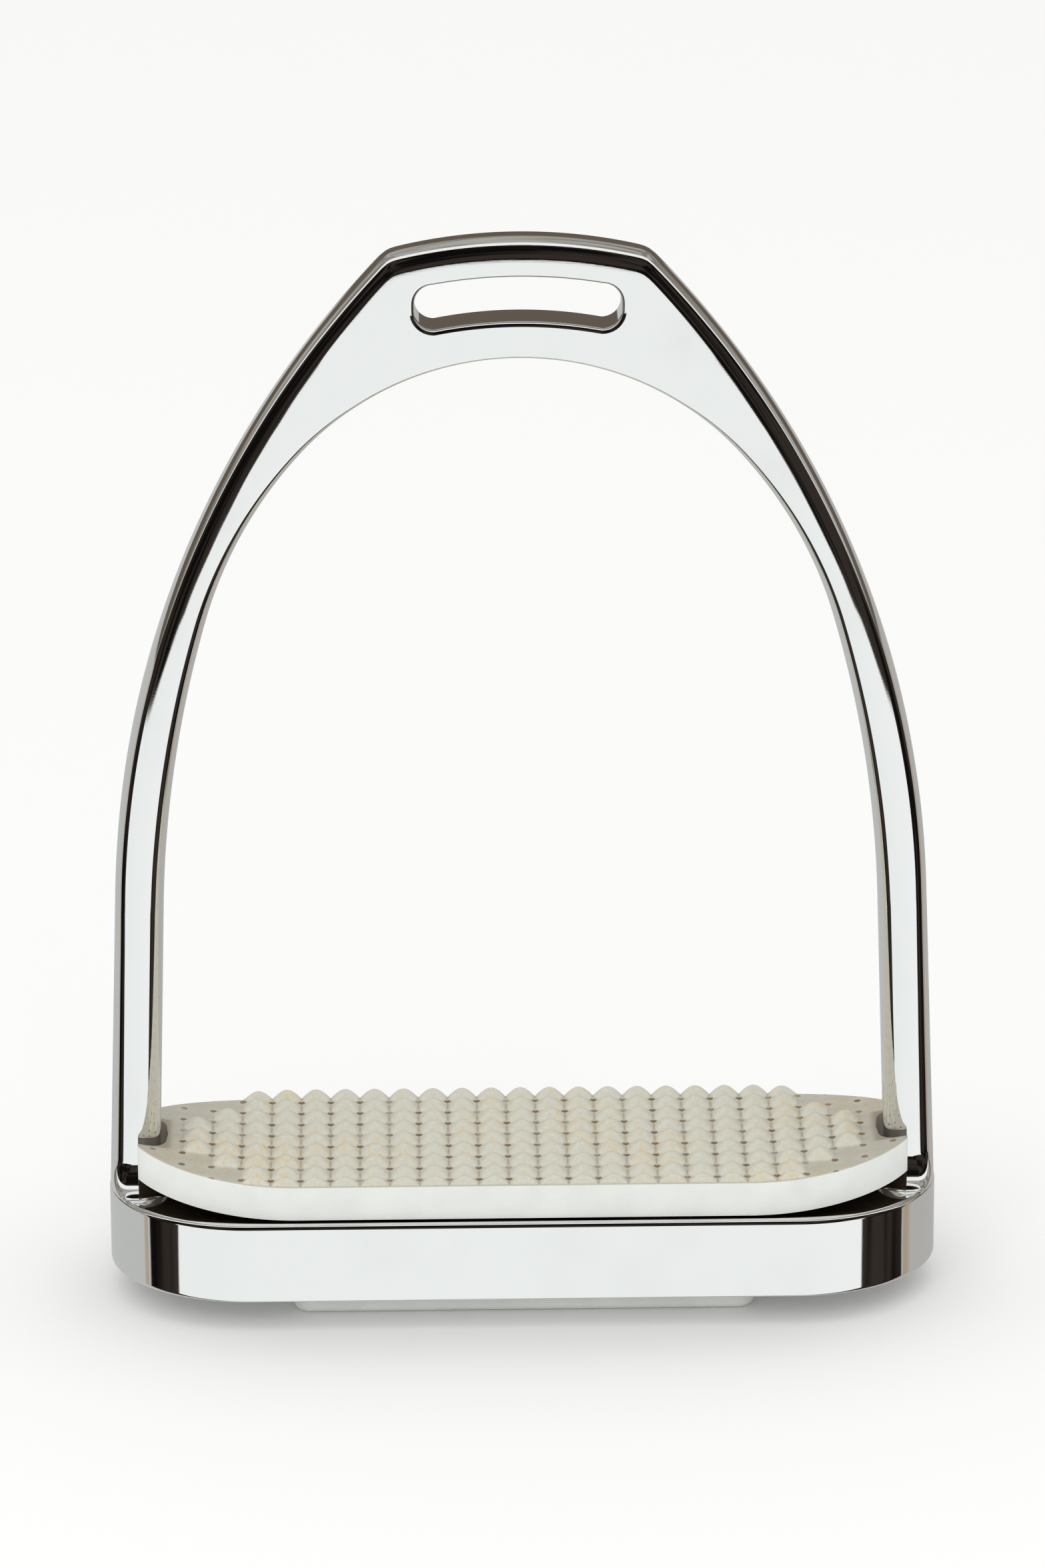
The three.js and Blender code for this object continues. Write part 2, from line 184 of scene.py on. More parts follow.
def arch_surface():
    """Sections of the arch as one grid: a rectangle with rounded corners on every rib, which
    the wrap bends to the ellipse of the footplate's end by e(1 - sqrt(1 - (y/d)^2))."""
    start, direction, width, flare, risen, wrap, rise = branch_stations()
    narrowing = 1.6 * rise
    reach = ramp(foot_half_depth, eye_half_thickness, narrowing) + flare
    outer = ramp(0.8, 3.3, risen)
    inner = np.minimum(ramp(4.0, 0.9, narrowing) + flare, reach - 0.02)
    face = reach - outer
    corners = [
        quarter_turn(width - outer, -face, outer, -90),
        quarter_turn(width - outer, face, outer, 0),
        quarter_turn(inner - flare, reach - inner, inner, 90),
        quarter_turn(inner - flare, inner - reach, inner, 180),
    ]
    columns = []
    for k, corner in enumerate(corners):
        columns += [corner, run_between(corner, corners[(k + 1) % 4], (8, 12, 4, 12)[k])]
    u = np.concatenate([c[0] for c in columns], 1)
    y = np.concatenate([c[1] for c in columns], 1)
    bend = plate_end_run * (1 - np.sqrt(1 - (y / plate_half_depth) ** 2))
    along = u - wrap[:, None] * bend * np.clip(u / width[:, None], 0, 1)
    plane = start[:, None] + along[..., None] * direction[:, None]
    right = np.stack([plane[..., 0], y, plane[..., 1]], -1)
    left = right[-2::-1] * [-1, 1, 1]
    return np.concatenate([right, left])


def grid_faces(rows, columns, closed_rows=False):
    """Quads of a grid whose columns close on themselves, and its rows too if asked."""
    i = np.arange(rows if closed_rows else rows - 1)[:, None]
    j = np.arange(columns)[None]
    after_i, after_j = (i + 1) % rows, (j + 1) % columns
    corners = [i * columns + j, i * columns + after_j, after_i * columns + after_j]
    corners.append(after_i * columns + j)
    return np.stack(np.broadcast_arrays(*corners), -1).reshape(-1, 4).tolist()


def mesh_piece(name, points, faces):
    """A smooth-shaded object at the origin from points in millimetres and a list of faces."""
    mesh = bpy.data.meshes.new(name)
    mesh.from_pydata((np.asarray(points).reshape(-1, 3) * MM).tolist(), [], faces)
    mesh.update()
    mesh.shade_smooth()
    piece = bpy.data.objects.new(name, mesh)
    bpy.context.scene.collection.objects.link(piece)
    return piece


def capped_tube(name, rings):
    """A closed tube through rings of points, with one flat face over each end."""
    rows, columns = rings.shape[:2]
    faces = grid_faces(rows, columns)
    faces.append(list(range(columns))[::-1])
    faces.append(list(range((rows - 1) * columns, rows * columns)))
    return mesh_piece(name, rings, faces)


slot_half_width = 17.0
slot_height = 7.55
slot_floor = arch_crown + 6.35
slot_corner = 3.2
slot_edge = 0.9
rim_turn = 78
past_face = 0.25


def slot_outline(grow):
    """Outline of the slot grown by an offset: arched floor and roof about the centre of the
    eye's top, and four corner quarter circles. One row of points for each offset."""
    inside = slot_half_width - slot_corner
    corner = slot_corner + grow
    floor = slot_floor - top_centre[1]
    roof = floor + slot_height
    lift = [math.sqrt(level**2 - inside**2) + top_centre[1] for level in (floor, roof)]
    side = np.full(grow.size, inside)
    low = np.full(grow.size, lift[0] + slot_corner)
    high = np.full(grow.size, lift[1] - slot_corner)
    across = np.linspace(-inside, inside, 40)[1:-1]
    floor_arc = np.sqrt((floor - grow[:, None]) ** 2 - across**2) + top_centre[1]
    roof_arc = np.sqrt((roof + grow[:, None]) ** 2 - across**2) + top_centre[1]
    spread = np.broadcast_to(across, floor_arc.shape)
    turns = [
        quarter_turn(side, low, corner, -90),
        quarter_turn(side, high, corner, 0),
        quarter_turn(-side, high, corner, 90),
        quarter_turn(-side, low, corner, 180),
    ]
    x = [turns[0][0], turns[1][0], spread[:, ::-1], turns[2][0], turns[3][0], spread]
    z = [turns[0][1], turns[1][1], roof_arc[:, ::-1], turns[2][1], turns[3][1], floor_arc]
    return np.concatenate(x, 1), np.concatenate(z, 1)


def slot_cutter():
    """The slot as a solid along Y that flares at both faces of the eye, which leaves the
    rims of the slot rounded: a circle up to the rim's turn, then its tangent past the face."""
    turn = np.radians(np.linspace(0, rim_turn, 7))
    depth = eye_half_thickness - slot_edge + slot_edge * np.sin(turn)
    grow = slot_edge * (1 - np.cos(turn))
    depth = np.array([*depth, depth[-1] + past_face])
    grow = np.array([*grow, grow[-1] + past_face * math.tan(turn[-1])])
    y = np.concatenate([-depth[::-1], depth])
    x, z = slot_outline(np.concatenate([grow[::-1], grow]))
    rings = np.stack([x, np.broadcast_to(y[:, None], x.shape), z], -1)
    return capped_tube("slot_cutter", rings[::-1])


def crease_slot_rims(mesh):
    """Marks the edges between the rims of the slot and the flat faces of the eye as sharp, so
    that the polish stays flat right up to them."""
    work = bmesh.new()
    work.from_mesh(mesh)
    roof_radius = slot_floor + slot_height - top_centre[1]
    for edge in work.edges:
        flat_sides = sum(abs(face.normal.y) > 0.99999 for face in edge.link_faces)
        x, _, z = (edge.verts[0].co + edge.verts[1].co) / (2 * MM)
        under_roof = math.hypot(x, z - top_centre[1]) < roof_radius + 2 * slot_edge
        over_floor = abs(x) < slot_half_width + 2 * slot_edge and z > slot_floor - 3.5
        if flat_sides == 1 and under_roof and over_floor:
            edge.smooth = False
    work.to_mesh(mesh)
    work.free()


steel_frame = capped_tube("steel_frame", arch_surface())
cutter = slot_cutter()
cut = steel_frame.modifiers.new("slot", "BOOLEAN")
cut.operation = "DIFFERENCE"
cut.solver = "EXACT"
cut.object = cutter
bpy.context.view_layer.update()
depsgraph = bpy.context.evaluated_depsgraph_get()
arch_mesh = bpy.data.meshes.new_from_object(steel_frame.evaluated_get(depsgraph))
steel_frame.modifiers.clear()
bpy.data.objects.remove(cutter)


# Steel frame, the footplate. The same casting: a flat ring with rounded ends round the window
# that the tread's boss is pushed into. Its edges are eased by the polishing wheel.

plate_edge = 0.8
window_half_length = 39.3
window_half_depth = 15.3
window_corner = 3.3


def end_and_side(centre, run, depth, steps, side_steps):
    """Plan outline of straight sides and elliptical ends, with its outward normals. The
    sides have evenly spaced points, and the ends x = c + a cos t, y = b sin t."""
    t = np.linspace(-math.pi / 2, math.pi / 2, steps + 1)
    end = np.stack([centre + run * np.cos(t), depth * np.sin(t)], -1)
    end_normal = np.stack([depth * np.cos(t), run * np.sin(t)], -1)
    end_normal /= np.linalg.norm(end_normal, axis=1)[:, None]
    x = np.linspace(centre, -centre, side_steps + 1)[1:-1]
    side = np.stack([x, np.full(x.size, depth)], -1)
    side_normal = np.broadcast_to([0.0, 1.0], side.shape)
    points = np.concatenate([end, side, -end, -side])
    normals = np.concatenate([end_normal, side_normal, -end_normal, -side_normal])
    return points, normals


def rounded_rectangle(half_length, half_depth, radius, steps, side_steps):
    """The same count of points round a rectangle with rounded corners: each end has a
    quarter circle, a straight wall and a second quarter circle."""
    third = steps // 3
    x, y = half_length - radius, half_depth - radius
    t = np.linspace(-math.pi / 2, 0, third + 1)
    normal = normal_at(t)
    first = np.array([x, -y]) + radius * normal
    wall_y = np.linspace(-y, y, steps - 2 * third + 1)[1:-1]
    wall = np.stack([np.full(wall_y.size, half_length), wall_y], -1)
    wall_normal = np.broadcast_to([1.0, 0.0], wall.shape)
    last = first[::-1] * [1, -1]
    end = np.concatenate([first, wall, last])
    end_normal = np.concatenate([normal, wall_normal, normal[::-1] * [1, -1]])
    side_x = np.linspace(x, -x, side_steps + 1)[1:-1]
    side = np.stack([side_x, np.full(side_x.size, half_depth)], -1)
    side_normal = np.broadcast_to([0.0, 1.0], side.shape)
    points = np.concatenate([end, side, -end, -side])
    normals = np.concatenate([end_normal, side_normal, -end_normal, -side_normal])
    return points, normals


def eased_wall(points, normals, low, high, edge, steps=6):
    """A wall on an outline whose lower and upper edges are quarter circles. Rows run from
    the lower edge to the upper one, with the inset e(1 - cos a) at the height e(1 - sin a)."""
    t = np.radians(np.linspace(0, 90, steps + 1))
    inset = np.array([*(edge * (1 - np.cos(t)))[::-1], *(edge * (1 - np.cos(t)))])
    z = [*(low + edge * (1 - np.sin(t)))[::-1], *(high - edge * (1 - np.sin(t)))]
    plan = points[None] - inset[:, None, None] * normals[None]
    height = np.broadcast_to(np.array(z)[:, None, None], (len(z), len(points), 1))
    return np.concatenate([plan, height], -1)


def footplate_surface():
    """A ring closed both ways: up the outside wall, across the top, down the window's wall
    and back under. The faces across are straight lines between the two outlines."""
    end_steps, side_steps = 96, 60
    outline = end_and_side(
        plate_end - plate_end_run, plate_end_run, plate_half_depth, end_steps, side_steps
    )
    window = rounded_rectangle(
        window_half_length, window_half_depth, window_corner, end_steps, side_steps
    )
    outside = eased_wall(*outline, plate_under, plate_top, plate_edge)
    inside = eased_wall(window[0], -window[1], plate_under, plate_top, plate_edge)[::-1]
    part = np.linspace(0, 1, 8)[1:-1, None, None]
    over = outside[-1] + (inside[0] - outside[-1]) * part
    under = inside[-1] + (outside[0] - inside[-1]) * part
    return np.concatenate([outside, over, inside, under])


ring = footplate_surface()
footplate = mesh_piece(
    "footplate", ring, [face[::-1] for face in grid_faces(*ring.shape[:2], closed_rows=True)]
)
steel_frame.data = arch_mesh
with bpy.context.temp_override(
    active_object=steel_frame, selected_editable_objects=[steel_frame, footplate]
):
    bpy.ops.object.join()
steel_frame.data.shade_smooth()
crease_slot_rims(steel_frame.data)
even = steel_frame.modifiers.new("even shading", "WEIGHTED_NORMAL")
even.weight = 100
even.keep_sharp = True


class Wire:
    """A socket that takes part in Python sums: a + b, a - b, 1 - a and a * b."""

    def __init__(self, tree, socket):
        self.tree = tree
        self.socket = socket

    def _maths(self, operation, first, second):
        return add_node(
            self.tree, "ShaderNodeMath", {"operation": operation}, {0: first, 1: second}
        )

    def __add__(self, other):
        return self._maths("ADD", self, other)

    __radd__ = __add__

    def __sub__(self, other):
        return self._maths("SUBTRACT", self, other)

    def __rsub__(self, other):
        return self._maths("SUBTRACT", other, self)

    def __mul__(self, other):
        return self._maths("MULTIPLY", self, other)

    __rmul__ = __mul__


def add_node(tree, kind, settings=None, inputs=None, output=0):
    """Adds a node: its settings first, then the values or wires of its inputs. A setting
    named stops fills a colour ramp with (place, colour) pairs."""
    node = tree.nodes.new(kind)
    for name, value in (settings or {}).items():
        if name == "stops":
            ramp_elements = node.color_ramp.elements
            while len(ramp_elements) < len(value):
                ramp_elements.new(0.5)
            for element, (place, colour) in zip(ramp_elements, value):
                element.position = place
                element.color = colour if len(colour) == 4 else (*colour, 1)
        else:
            setattr(node, name, value)
    for name, value in (inputs or {}).items():
        if isinstance(value, Wire):
            tree.links.new(value.socket, node.inputs[name])
        else:
            node.inputs[name].default_value = value
    return Wire(tree, node.outputs[output])


def new_material(name):
    """An empty material, its tree, and the Principled node wired to its output."""
    material = bpy.data.materials.new(name)
    material.use_nodes = True
    tree = material.node_tree
    tree.nodes.clear()
    finish = tree.nodes.new("ShaderNodeBsdfPrincipled")
    out = tree.nodes.new("ShaderNodeOutputMaterial")
    tree.links.new(finish.outputs[0], out.inputs[0])
    return material, tree, finish


def mix(tree, factor, first, second):
    """A blend of two colours, the second where the factor is 1."""
    return add_node(
        tree,
        "ShaderNodeMix",
        {"data_type": "RGBA"},
        {0: factor, 6: first, 7: second},
        output=2,
    )


def map_range(tree, value, low, high, start=0.0, end=1.0, kind="SMOOTHSTEP"):
    """A value taken from one range to another, clamped at both ends."""
    return add_node(
        tree,
        "ShaderNodeMapRange",
        {"interpolation_type": kind},
        {"Value": value, "From Min": low, "From Max": high, "To Min": start, "To Max": end},
    )


def polished_steel():
    """Mirror-polished stainless steel: fine wheel marks, faint finger smears that raise the
    roughness, and a slow waviness of the surface left by the polishing."""
    material, tree, finish = new_material("polished_steel")
    place = add_node(tree, "ShaderNodeTexCoord", output="Object")
    smears = add_node(
        tree, "ShaderNodeTexNoise", {}, {"Vector": place, "Scale": 60.0, "Detail": 6.0}
    )
    stretched = add_node(
        tree, "ShaderNodeMapping", {}, {"Vector": place, "Scale": (1.0, 1.0, 14.0)}
    )
    wheel = add_node(
        tree, "ShaderNodeTexNoise", {}, {"Vector": stretched, "Scale": 420.0, "Detail": 3.0}
    )
    smear_mask = map_range(tree, smears, 0.52, 0.78, kind="LINEAR")
    roughness = 0.03 + 0.05 * smear_mask + 0.03 * wheel
    tint = mix(tree, smear_mask, (0.86, 0.865, 0.86, 1), (0.835, 0.838, 0.828, 1))
    waves = add_node(
        tree, "ShaderNodeTexNoise", {}, {"Vector": place, "Scale": 55.0, "Detail": 1.0}
    )
    relief = waves + 0.01 * wheel
    bump = add_node(
        tree, "ShaderNodeBump", {}, {"Strength": 0.25, "Distance": 0.0004, "Height": relief}
    )
    tree.links.new(tint.socket, finish.inputs["Base Color"])
    tree.links.new(roughness.socket, finish.inputs["Roughness"])
    tree.links.new(bump.socket, finish.inputs["Normal"])
    finish.inputs["Metallic"].default_value = 1.0
    return material


steel_frame.data.materials.clear()
steel_frame.data.materials.append(polished_steel())
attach(steel_frame, "frame")
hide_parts("stirrup_frame")


# Tread. One moulding of off-white rubber: a flange with a grid of domed nubs and a smooth
# border, swept up at both ends and notched round the feet of the branches, and a boss below
# that is pushed through the window and stands out under the footplate.

seat_gap = 0.3
flange_height = 6.0
flange_under = plate_top + seat_gap
flange_top = flange_under + flange_height
tip_reach = 3.6
end_cut = 2.0
notch_clearance = 0.6
boss_clearance = 0.3
boss_edge = 1.6
tread_half_depth = 20.0
tread_end_run = 29.0
foot_inside = half_clear + (straight_top - plate_top) * math.tan(inner_lean)
tread_flat = foot_inside + tip_reach + end_cut - tread_end_run
sweep_radius = 135.0
notch_height = flange_under + (foot_inside - tread_flat) ** 2 / (2 * sweep_radius)
notch_foot = half_clear + (straight_top - notch_height) * math.tan(inner_lean)
fillet_left = max(0.0, plate_top + foot_fillet - notch_height)
fillet_spread = foot_fillet - math.sqrt(foot_fillet**2 - fillet_left**2)
notch_bottom = notch_foot - fillet_spread - notch_clearance
notch_half = foot_half_depth + fillet_spread + notch_clearance
tip = notch_foot + tip_reach
nub_pitch = 5.0
nub_height = 1.7
border = 2.0
rim = 0.3


def sweep(x):
    """Rise of the flange: (|x| - c)^2 / 2r past the straight part."""
    return np.clip(np.abs(x) - tread_flat, 0, None) ** 2 / (2 * sweep_radius)


def outer_edge(x):
    """Half depth of the flange at x: b sqrt(1 - ((|x| - c)/a)^2) on the elliptical ends."""
    past = np.clip((np.abs(x) - tread_flat) / tread_end_run, 0, 1)
    return tread_half_depth * np.sqrt(1 - past**2)


def inner_edge(x):
    """Half width of the notch at x: it opens as a circle's quarter, then runs straight."""
    radius = 3.5
    past = np.clip((np.abs(x) - notch_bottom) / radius, 0, 1)
    opened = np.sqrt(1 - (1 - past) ** 2) ** 0.6
    return notch_half * opened


def has_nub(x, y):
    """1 everywhere between the rounded ends and two nubs into them, and past that where the
    whole cell of a nub lies inside the border and clear of the notches."""
    cell_x = np.abs(np.round(x / nub_pitch) * nub_pitch) + nub_pitch / 2
    row_y = np.abs(np.round(y / nub_pitch) * nub_pitch)
    past = np.clip((cell_x - tread_flat) / (tread_end_run - border), 0, None)
    in_ends = past**2 + ((row_y + nub_pitch / 2) / (tread_half_depth - border)) ** 2 <= 1
    near_notch = (cell_x > notch_bottom - border) & (
        row_y - nub_pitch / 2 < notch_half + border
    )
    return (cell_x <= tread_flat + 2 * nub_pitch) | (in_ends & ~near_notch)


def dome(t):
    """Round crest and sharp valley over one pitch, 1 in the middle and 0 at the valleys:
    |cos(pi t / pitch)|."""
    return np.abs(np.cos(math.pi * t / nub_pitch))


def tread_top(x, y):
    """Height of the flange's top: its sweep, the nubs as the product of two crests, and a
    quarter circle down over the rim, r - sqrt(r^2 - (r - d)^2) at the distance d inside it."""
    nubs = nub_height * dome(x) * dome(y) * has_nub(x, y)
    slope = np.gradient(outer_edge(x[:, 0]), x[:, 0])[:, None]
    inside = (outer_edge(x) - np.abs(y)) / np.sqrt(1 + slope**2)
    short = np.clip(rim - inside, 0, rim)
    return flange_top + sweep(x) + nubs - (rim - np.sqrt(rim**2 - short**2))


def tread_flange():
    """Two mirrored half grids that meet on y = 0, each from the inner edge (0, or the side
    of a notch) to the outer edge, over a plain underside and with walls between them."""
    x_line = np.linspace(-tip, tip, 417)
    for edge in (-notch_bottom, notch_bottom):
        x_line[np.argmin(np.abs(x_line - edge))] = edge
    fine = rim / tread_half_depth
    share = np.array([*np.linspace(0, 1 - fine, 64), *np.linspace(1 - fine, 1, 6)[1:]])
    columns, rows = x_line.size, share.size
    x = np.broadcast_to(x_line[:, None], (columns, rows))
    inner = inner_edge(x)
    y = inner + (outer_edge(x) - inner) * share
    top = np.stack([x, y, tread_top(x, y)], -1)
    under_z = flange_under + sweep(x_line)
    under = np.stack([x[:, [0, -1]], y[:, [0, -1]], np.stack([under_z] * 2, -1)], -1)
    half = np.concatenate([top.reshape(-1, 3), under.reshape(-1, 3)])
    base = columns * rows
    i = np.arange(columns - 1)
    a = (i[:, None] * rows + np.arange(rows - 1)).reshape(-1)
    skin = np.stack([a, a + rows, a + rows + 1, a + 1], -1)
    low = base + 2 * i
    floor = np.stack([low, low + 1, low + 3, low + 2], -1)
    edge = i * rows + rows - 1
    outside = np.stack([edge, edge + rows, low + 3, low + 1], -1)
    notched = i[np.minimum(np.abs(x_line[i]), np.abs(x_line[i + 1])) > notch_bottom - 1e-6]
    start, foot = notched * rows, base + 2 * notched
    inside = np.stack([start + rows, start, foot, foot + 2], -1)
    faces = np.concatenate([skin, floor, outside, inside]).tolist()
    last = (columns - 1) * rows
    faces.append([*range(rows), base + 1, base])
    end = base + 2 * columns
    faces.append([*range(last, last + rows)][::-1] + [end - 2, end - 1])
    count = len(half)
    mirrored = [[k + count for k in face[::-1]] for face in faces]
    return np.concatenate([half, half * [1, -1, 1]]), faces + mirrored


def tread_boss():
    """The boss: a wall on a rounded rectangle with its lower and upper edges eased."""
    outline = rounded_rectangle(
        window_half_length - boss_clearance,
        window_half_depth - boss_clearance,
        window_corner - boss_clearance,
        36,
        40,
    )
    return eased_wall(*outline, 0.0, flange_under + flange_height / 2, boss_edge)


rubber_tread = mesh_piece("rubber_pad", *tread_flange())
boss = capped_tube("boss", tread_boss())
with bpy.context.temp_override(
    active_object=rubber_tread, selected_editable_objects=[rubber_tread, boss]
):
    bpy.ops.object.join()
bpy.context.view_layer.objects.active = rubber_tread
weld = rubber_tread.modifiers.new("middle seam", "WELD")
weld.merge_threshold = 1e-6
rubber_tread.data.shade_smooth()
rubber_tread.data.set_sharp_from_angle(angle=math.radians(50))


def moulded_rubber():
    """Off-white rubber: greyer among the nubs with darker valley floors, dots of trodden-in dirt
    where four nubs meet, ochre bloom in patches and a fine moulded grain. Painted light brightens
    the valleys round the dots; painted shade darkens the notches and the underside of the flange."""
    material, tree, finish = new_material("white_rubber")
    place = add_node(tree, "ShaderNodeTexCoord", output="Object")
    axes = tree.nodes.new("ShaderNodeSeparateXYZ")
    tree.links.new(place.socket, axes.inputs[0])
    x, y, z = (Wire(tree, axes.outputs[k]) for k in range(3))

    def valley(coordinate):
        """1 in the middle of each valley across a coordinate, 0 on the crests."""
        phase = coordinate * (math.pi / (nub_pitch * MM))
        return add_node(
            tree,
            "ShaderNodeMath",
            {"operation": "ABSOLUTE"},
            {0: add_node(tree, "ShaderNodeMath", {"operation": "SINE"}, {0: phase})},
        )

    def noise(scale, detail=4.0):
        return add_node(
            tree, "ShaderNodeTexNoise", {}, {"Vector": place, "Scale": scale, "Detail": detail}
        )

    def highest(first, second):
        return add_node(tree, "ShaderNodeMath", {"operation": "MAXIMUM"}, {0: first, 1: second})

    facing = tree.nodes.new("ShaderNodeNewGeometry")
    upright = tree.nodes.new("ShaderNodeSeparateXYZ")
    tree.links.new(facing.outputs["True Normal"], upright.inputs[0])
    up = Wire(tree, upright.outputs[2])
    past = highest(highest(x, 0.0 - x) - tread_flat * MM, 0.0)
    level = z - past * past * (1 / (2 * sweep_radius * MM))
    nubbed = map_range(tree, level, (flange_top - 0.25) * MM, (flange_top - 0.05) * MM)
    parting = nubbed * map_range(
        tree, level, (flange_top - 0.05) * MM, (flange_top + 0.35) * MM, 1.0, 0.0
    )
    # Painted shade: faces turned downwards above the plate, the underside of the flange, are
    # painted dark brown.
    painted_underside_shade = map_range(tree, up, -0.75, -0.35, 1.0, 0.0) * map_range(tree, z, 5 * MM, 9 * MM)
    crossing = map_range(tree, valley(x) * valley(y), 0.90, 0.97)
    patches = map_range(tree, noise(38.0), 0.44, 0.64)
    speckle = map_range(tree, noise(1300.0, 3.0), 0.48, 0.60)
    worn = map_range(tree, noise(150.0), 0.36, 0.56)
    wall = mix(tree, noise(160.0, 6.0), (0.66, 0.68, 0.65, 1), (0.80, 0.81, 0.78, 1))
    crown = mix(tree, noise(1900.0, 4.0), (0.50, 0.50, 0.43, 1), (0.66, 0.66, 0.58, 1))
    ochre = mix(tree, 0.22 * speckle + 0.45 * patches * speckle, crown, (0.68, 0.50, 0.23, 1))
    # Painted light: the valleys round each crossing of the nub rows are painted lighter, against
    # the shade that falls between the nubs.
    painted_valley_light = mix(tree, 0.35 * valley(x) * valley(y), ochre, (0.74, 0.72, 0.62, 1))
    dots = mix(tree, crossing * (0.45 + 0.55 * worn), painted_valley_light, (0.19, 0.10, 0.04, 1))
    edged = mix(tree, 0.35 * parting, dots, (0.25, 0.22, 0.16, 1))
    # Painted shade: the rubber walls of the notches, next to the feet of the branches, are painted
    # dark brown.
    across = highest(x, 0.0 - x)
    notched = map_range(tree, across, (notch_bottom - 1.2) * MM, (notch_bottom + 0.3) * MM)
    deep = highest(y, 0.0 - y)
    notched = notched * map_range(
        tree, deep, (notch_half - 0.3) * MM, (notch_half + 0.5) * MM, 0.75, 0.0
    )
    skin = mix(tree, 0.8 * notched, mix(tree, nubbed, wall, edged), (0.24, 0.17, 0.11, 1))
    colour = mix(tree, painted_underside_shade, skin, (0.10, 0.065, 0.035, 1))
    grain = noise(2600.0, 3.0) + 0.6 * noise(700.0, 2.0)
    bump = add_node(
        tree, "ShaderNodeBump", {}, {"Strength": 0.35, "Distance": 0.00015, "Height": grain}
    )
    tree.links.new(colour.socket, finish.inputs["Base Color"])
    tree.links.new((0.55 + 0.25 * noise(300.0)).socket, finish.inputs["Roughness"])
    tree.links.new(bump.socket, finish.inputs["Normal"])
    return material


rubber_tread.data.materials.clear()
rubber_tread.data.materials.append(moulded_rubber())
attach(rubber_tread, "tread")
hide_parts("rubber_tread")


# Studio. A pale floor and an even white surround, a soft light from above the front, and
# a light tent, seen only in the polish, that draws the dark lines along its edges.


def plain_material(name, colour, roughness=0.9):
    """A matt material of one colour."""
    material, _, finish = new_material(name)
    finish.inputs["Base Color"].default_value = (*colour, 1)
    finish.inputs["Roughness"].default_value = roughness
    return material


def tent_surface(radius=3.0, centre=0.09):
    """A ball round the stirrup: (cos a cos b, sin a cos b, sin b), seen from inside."""
    a = np.linspace(0, 2 * math.pi, 65)[:-1]
    b = np.radians(np.linspace(-89.5, 89.5, 41))[:, None]
    ball = np.stack([np.cos(a) * np.cos(b), np.sin(a) * np.cos(b), np.sin(b) + 0 * a], -1)
    return (radius * ball[::-1] + [0, 0, centre]) / MM


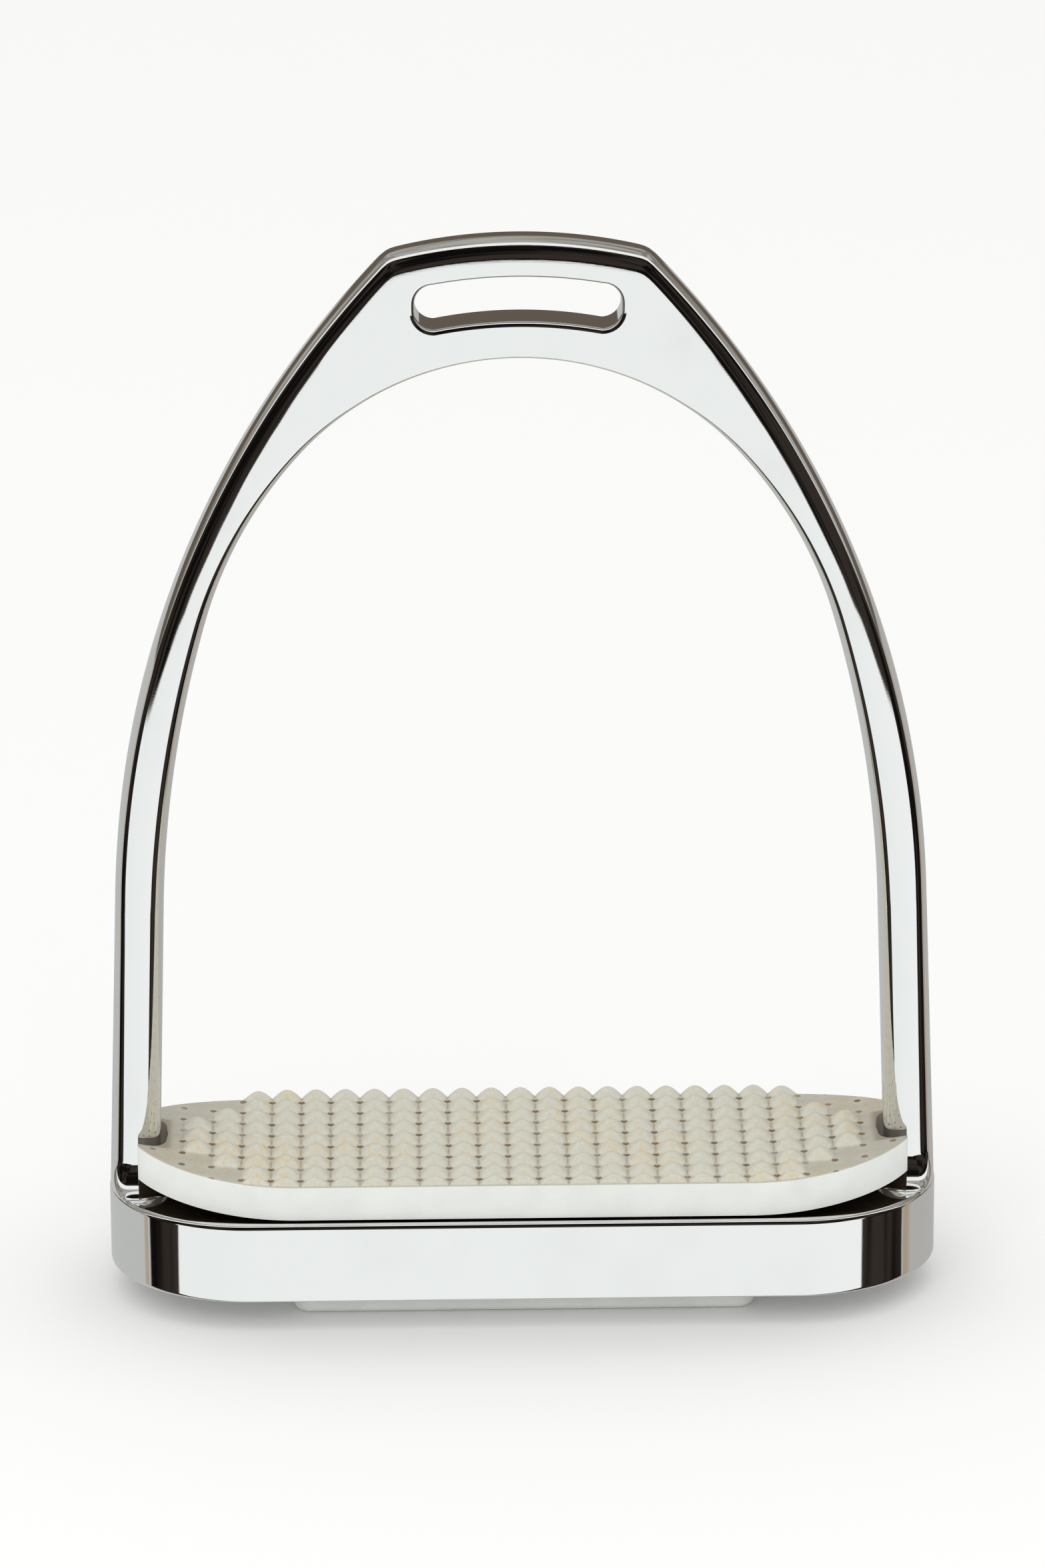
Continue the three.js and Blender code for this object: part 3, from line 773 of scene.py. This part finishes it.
def tent_material():
    """What the polish mirrors: a white table in front, a dark room above it and at its sides,
    a strip of light overhead, and grey and warm walls behind."""
    material = bpy.data.materials.new("light_tent")
    material.use_nodes = True
    tree = material.node_tree
    tree.nodes.clear()
    place = add_node(tree, "ShaderNodeTexCoord", output="Object")
    ripple = add_node(
        tree, "ShaderNodeTexNoise", {}, {"Vector": place, "Scale": 1.1, "Detail": 2.0}
    )

    def along(axis):
        """Cosine of the angle between the direction from the stirrup and an axis."""
        ray = add_node(tree, "ShaderNodeVectorMath", {"operation": "NORMALIZE"}, {0: place})
        return add_node(
            tree, "ShaderNodeVectorMath", {"operation": "DOT_PRODUCT"}, {0: ray, 1: axis}, output=1
        )

    def over(degrees, soft=0.012):
        """1 for directions turned past an angle from the front over the top."""
        turn = math.radians(degrees)
        return map_range(tree, along((0.0, math.sin(turn), math.cos(turn))), -soft, soft)

    def aside(sign, degrees, soft=0.012):
        """1 for directions turned past an angle from the front towards one side."""
        turn = math.radians(degrees)
        wobble = 0.09 * (ripple - 0.5)
        turned = along((sign * math.cos(turn), math.sin(turn), 0.0)) + wobble
        return map_range(tree, turned, -soft, soft)

    side = along((1.0, 0.0, 0.0))
    left = aside(-1, 58) * (1 - aside(-1, 87))
    right = aside(1, 53) * (1 - aside(1, 95))
    beyond = aside(-1, 87) + aside(1, 95)
    warm = aside(1, 95) * (1 - aside(1, 103, 0.04)) + aside(-1, 87) * (1 - aside(-1, 92, 0.02))
    room = over(-11) * (1 - over(70))
    strip = over(70) * (1 - over(86))
    back = over(86) * (1 - over(180))
    patchy = map_range(tree, ripple, 0.42, 0.6)
    gloom = mix(tree, patchy, (0.005, 0.004, 0.004, 1), (0.035, 0.028, 0.023, 1))
    to_right = map_range(tree, side, -0.3, 0.3)
    walls = mix(tree, to_right, (0.54, 0.55, 0.54, 1), (0.47, 0.46, 0.44, 1))
    walls = mix(tree, 0.6 * warm, walls, (0.42, 0.26, 0.15, 1))
    slowly_right = map_range(tree, side, -0.6, 0.6)
    table = mix(tree, slowly_right, (0.93, 0.96, 0.95, 1), (0.97, 0.99, 0.98, 1))
    low = mix(tree, beyond, mix(tree, left + right, table, gloom), walls)
    high = mix(tree, strip, gloom, (0.97, 0.97, 0.96, 1))
    cloudy = map_range(tree, ripple, 0.35, 0.65)
    ceiling = mix(tree, cloudy, (0.22, 0.20, 0.17, 1), (0.44, 0.43, 0.40, 1))
    ceiling = mix(tree, over(145, 0.05), ceiling, (0.13, 0.105, 0.085, 1))
    shade = mix(tree, back, mix(tree, room + strip, low, high), ceiling)
    glow = tree.nodes.new("ShaderNodeEmission")
    out = tree.nodes.new("ShaderNodeOutputMaterial")
    tree.links.new(shade.socket, glow.inputs["Color"])
    tree.links.new(glow.outputs[0], out.inputs[0])
    return material


floor = mesh_piece(
    "floor", [[-4e3, -4e3, 0], [4e3, -4e3, 0], [4e3, 4e3, 0], [-4e3, 4e3, 0]], [[0, 1, 2, 3]]
)
floor.data.materials.append(plain_material("pale_floor", (0.93, 0.93, 0.92)))
floor.visible_glossy = False

tent = capped_tube("light_tent", tent_surface())
tent.data.materials.append(tent_material())
tent.visible_camera = False
tent.visible_diffuse = False
tent.visible_shadow = False

world = bpy.data.worlds.new("surround")
bpy.context.scene.world = world
world.use_nodes = True
world.node_tree.nodes["Background"].inputs["Color"].default_value = (1, 1, 1, 1)
world.node_tree.nodes["Background"].inputs["Strength"].default_value = 1.0

key = bpy.data.lights.new("soft_key", "AREA")
key.shape = "RECTANGLE"
key.size, key.size_y = 1.2, 0.8
key.energy = 5.0
key_lamp = bpy.data.objects.new("soft_key", key)
key_lamp.location = (-0.35, -1.3, 0.9)
key_lamp.rotation_euler = (math.radians(58), 0, math.radians(-15))
key_lamp.visible_glossy = False
bpy.context.scene.collection.objects.link(key_lamp)

camera = bpy.data.cameras.new("camera")
camera.lens = 210.3
camera.sensor_width = 36.0
camera.clip_end = 20
eye = np.array([-0.0222, -1.4389, 0.6133])
looked_at = np.array([0.00035, -0.00135, 0.0900])
forward = (looked_at - eye) / np.linalg.norm(looked_at - eye)
level = np.cross(forward, [0, 0, 1])
level /= np.linalg.norm(level)
upright = np.cross(level, forward)
lean = math.radians(0.3)
camera_matrix = np.eye(4)
camera_matrix[:3, 0] = math.cos(lean) * level - math.sin(lean) * upright
camera_matrix[:3, 1] = math.cos(lean) * upright + math.sin(lean) * level
camera_matrix[:3, 2] = -forward
camera_matrix[:3, 3] = eye
camera_object = bpy.data.objects.new("camera", camera)
bpy.context.scene.collection.objects.link(camera_object)
camera_object.matrix_world = camera_matrix.T.tolist()
bpy.context.scene.camera = camera_object
bpy.context.scene.view_settings.view_transform = "Standard"
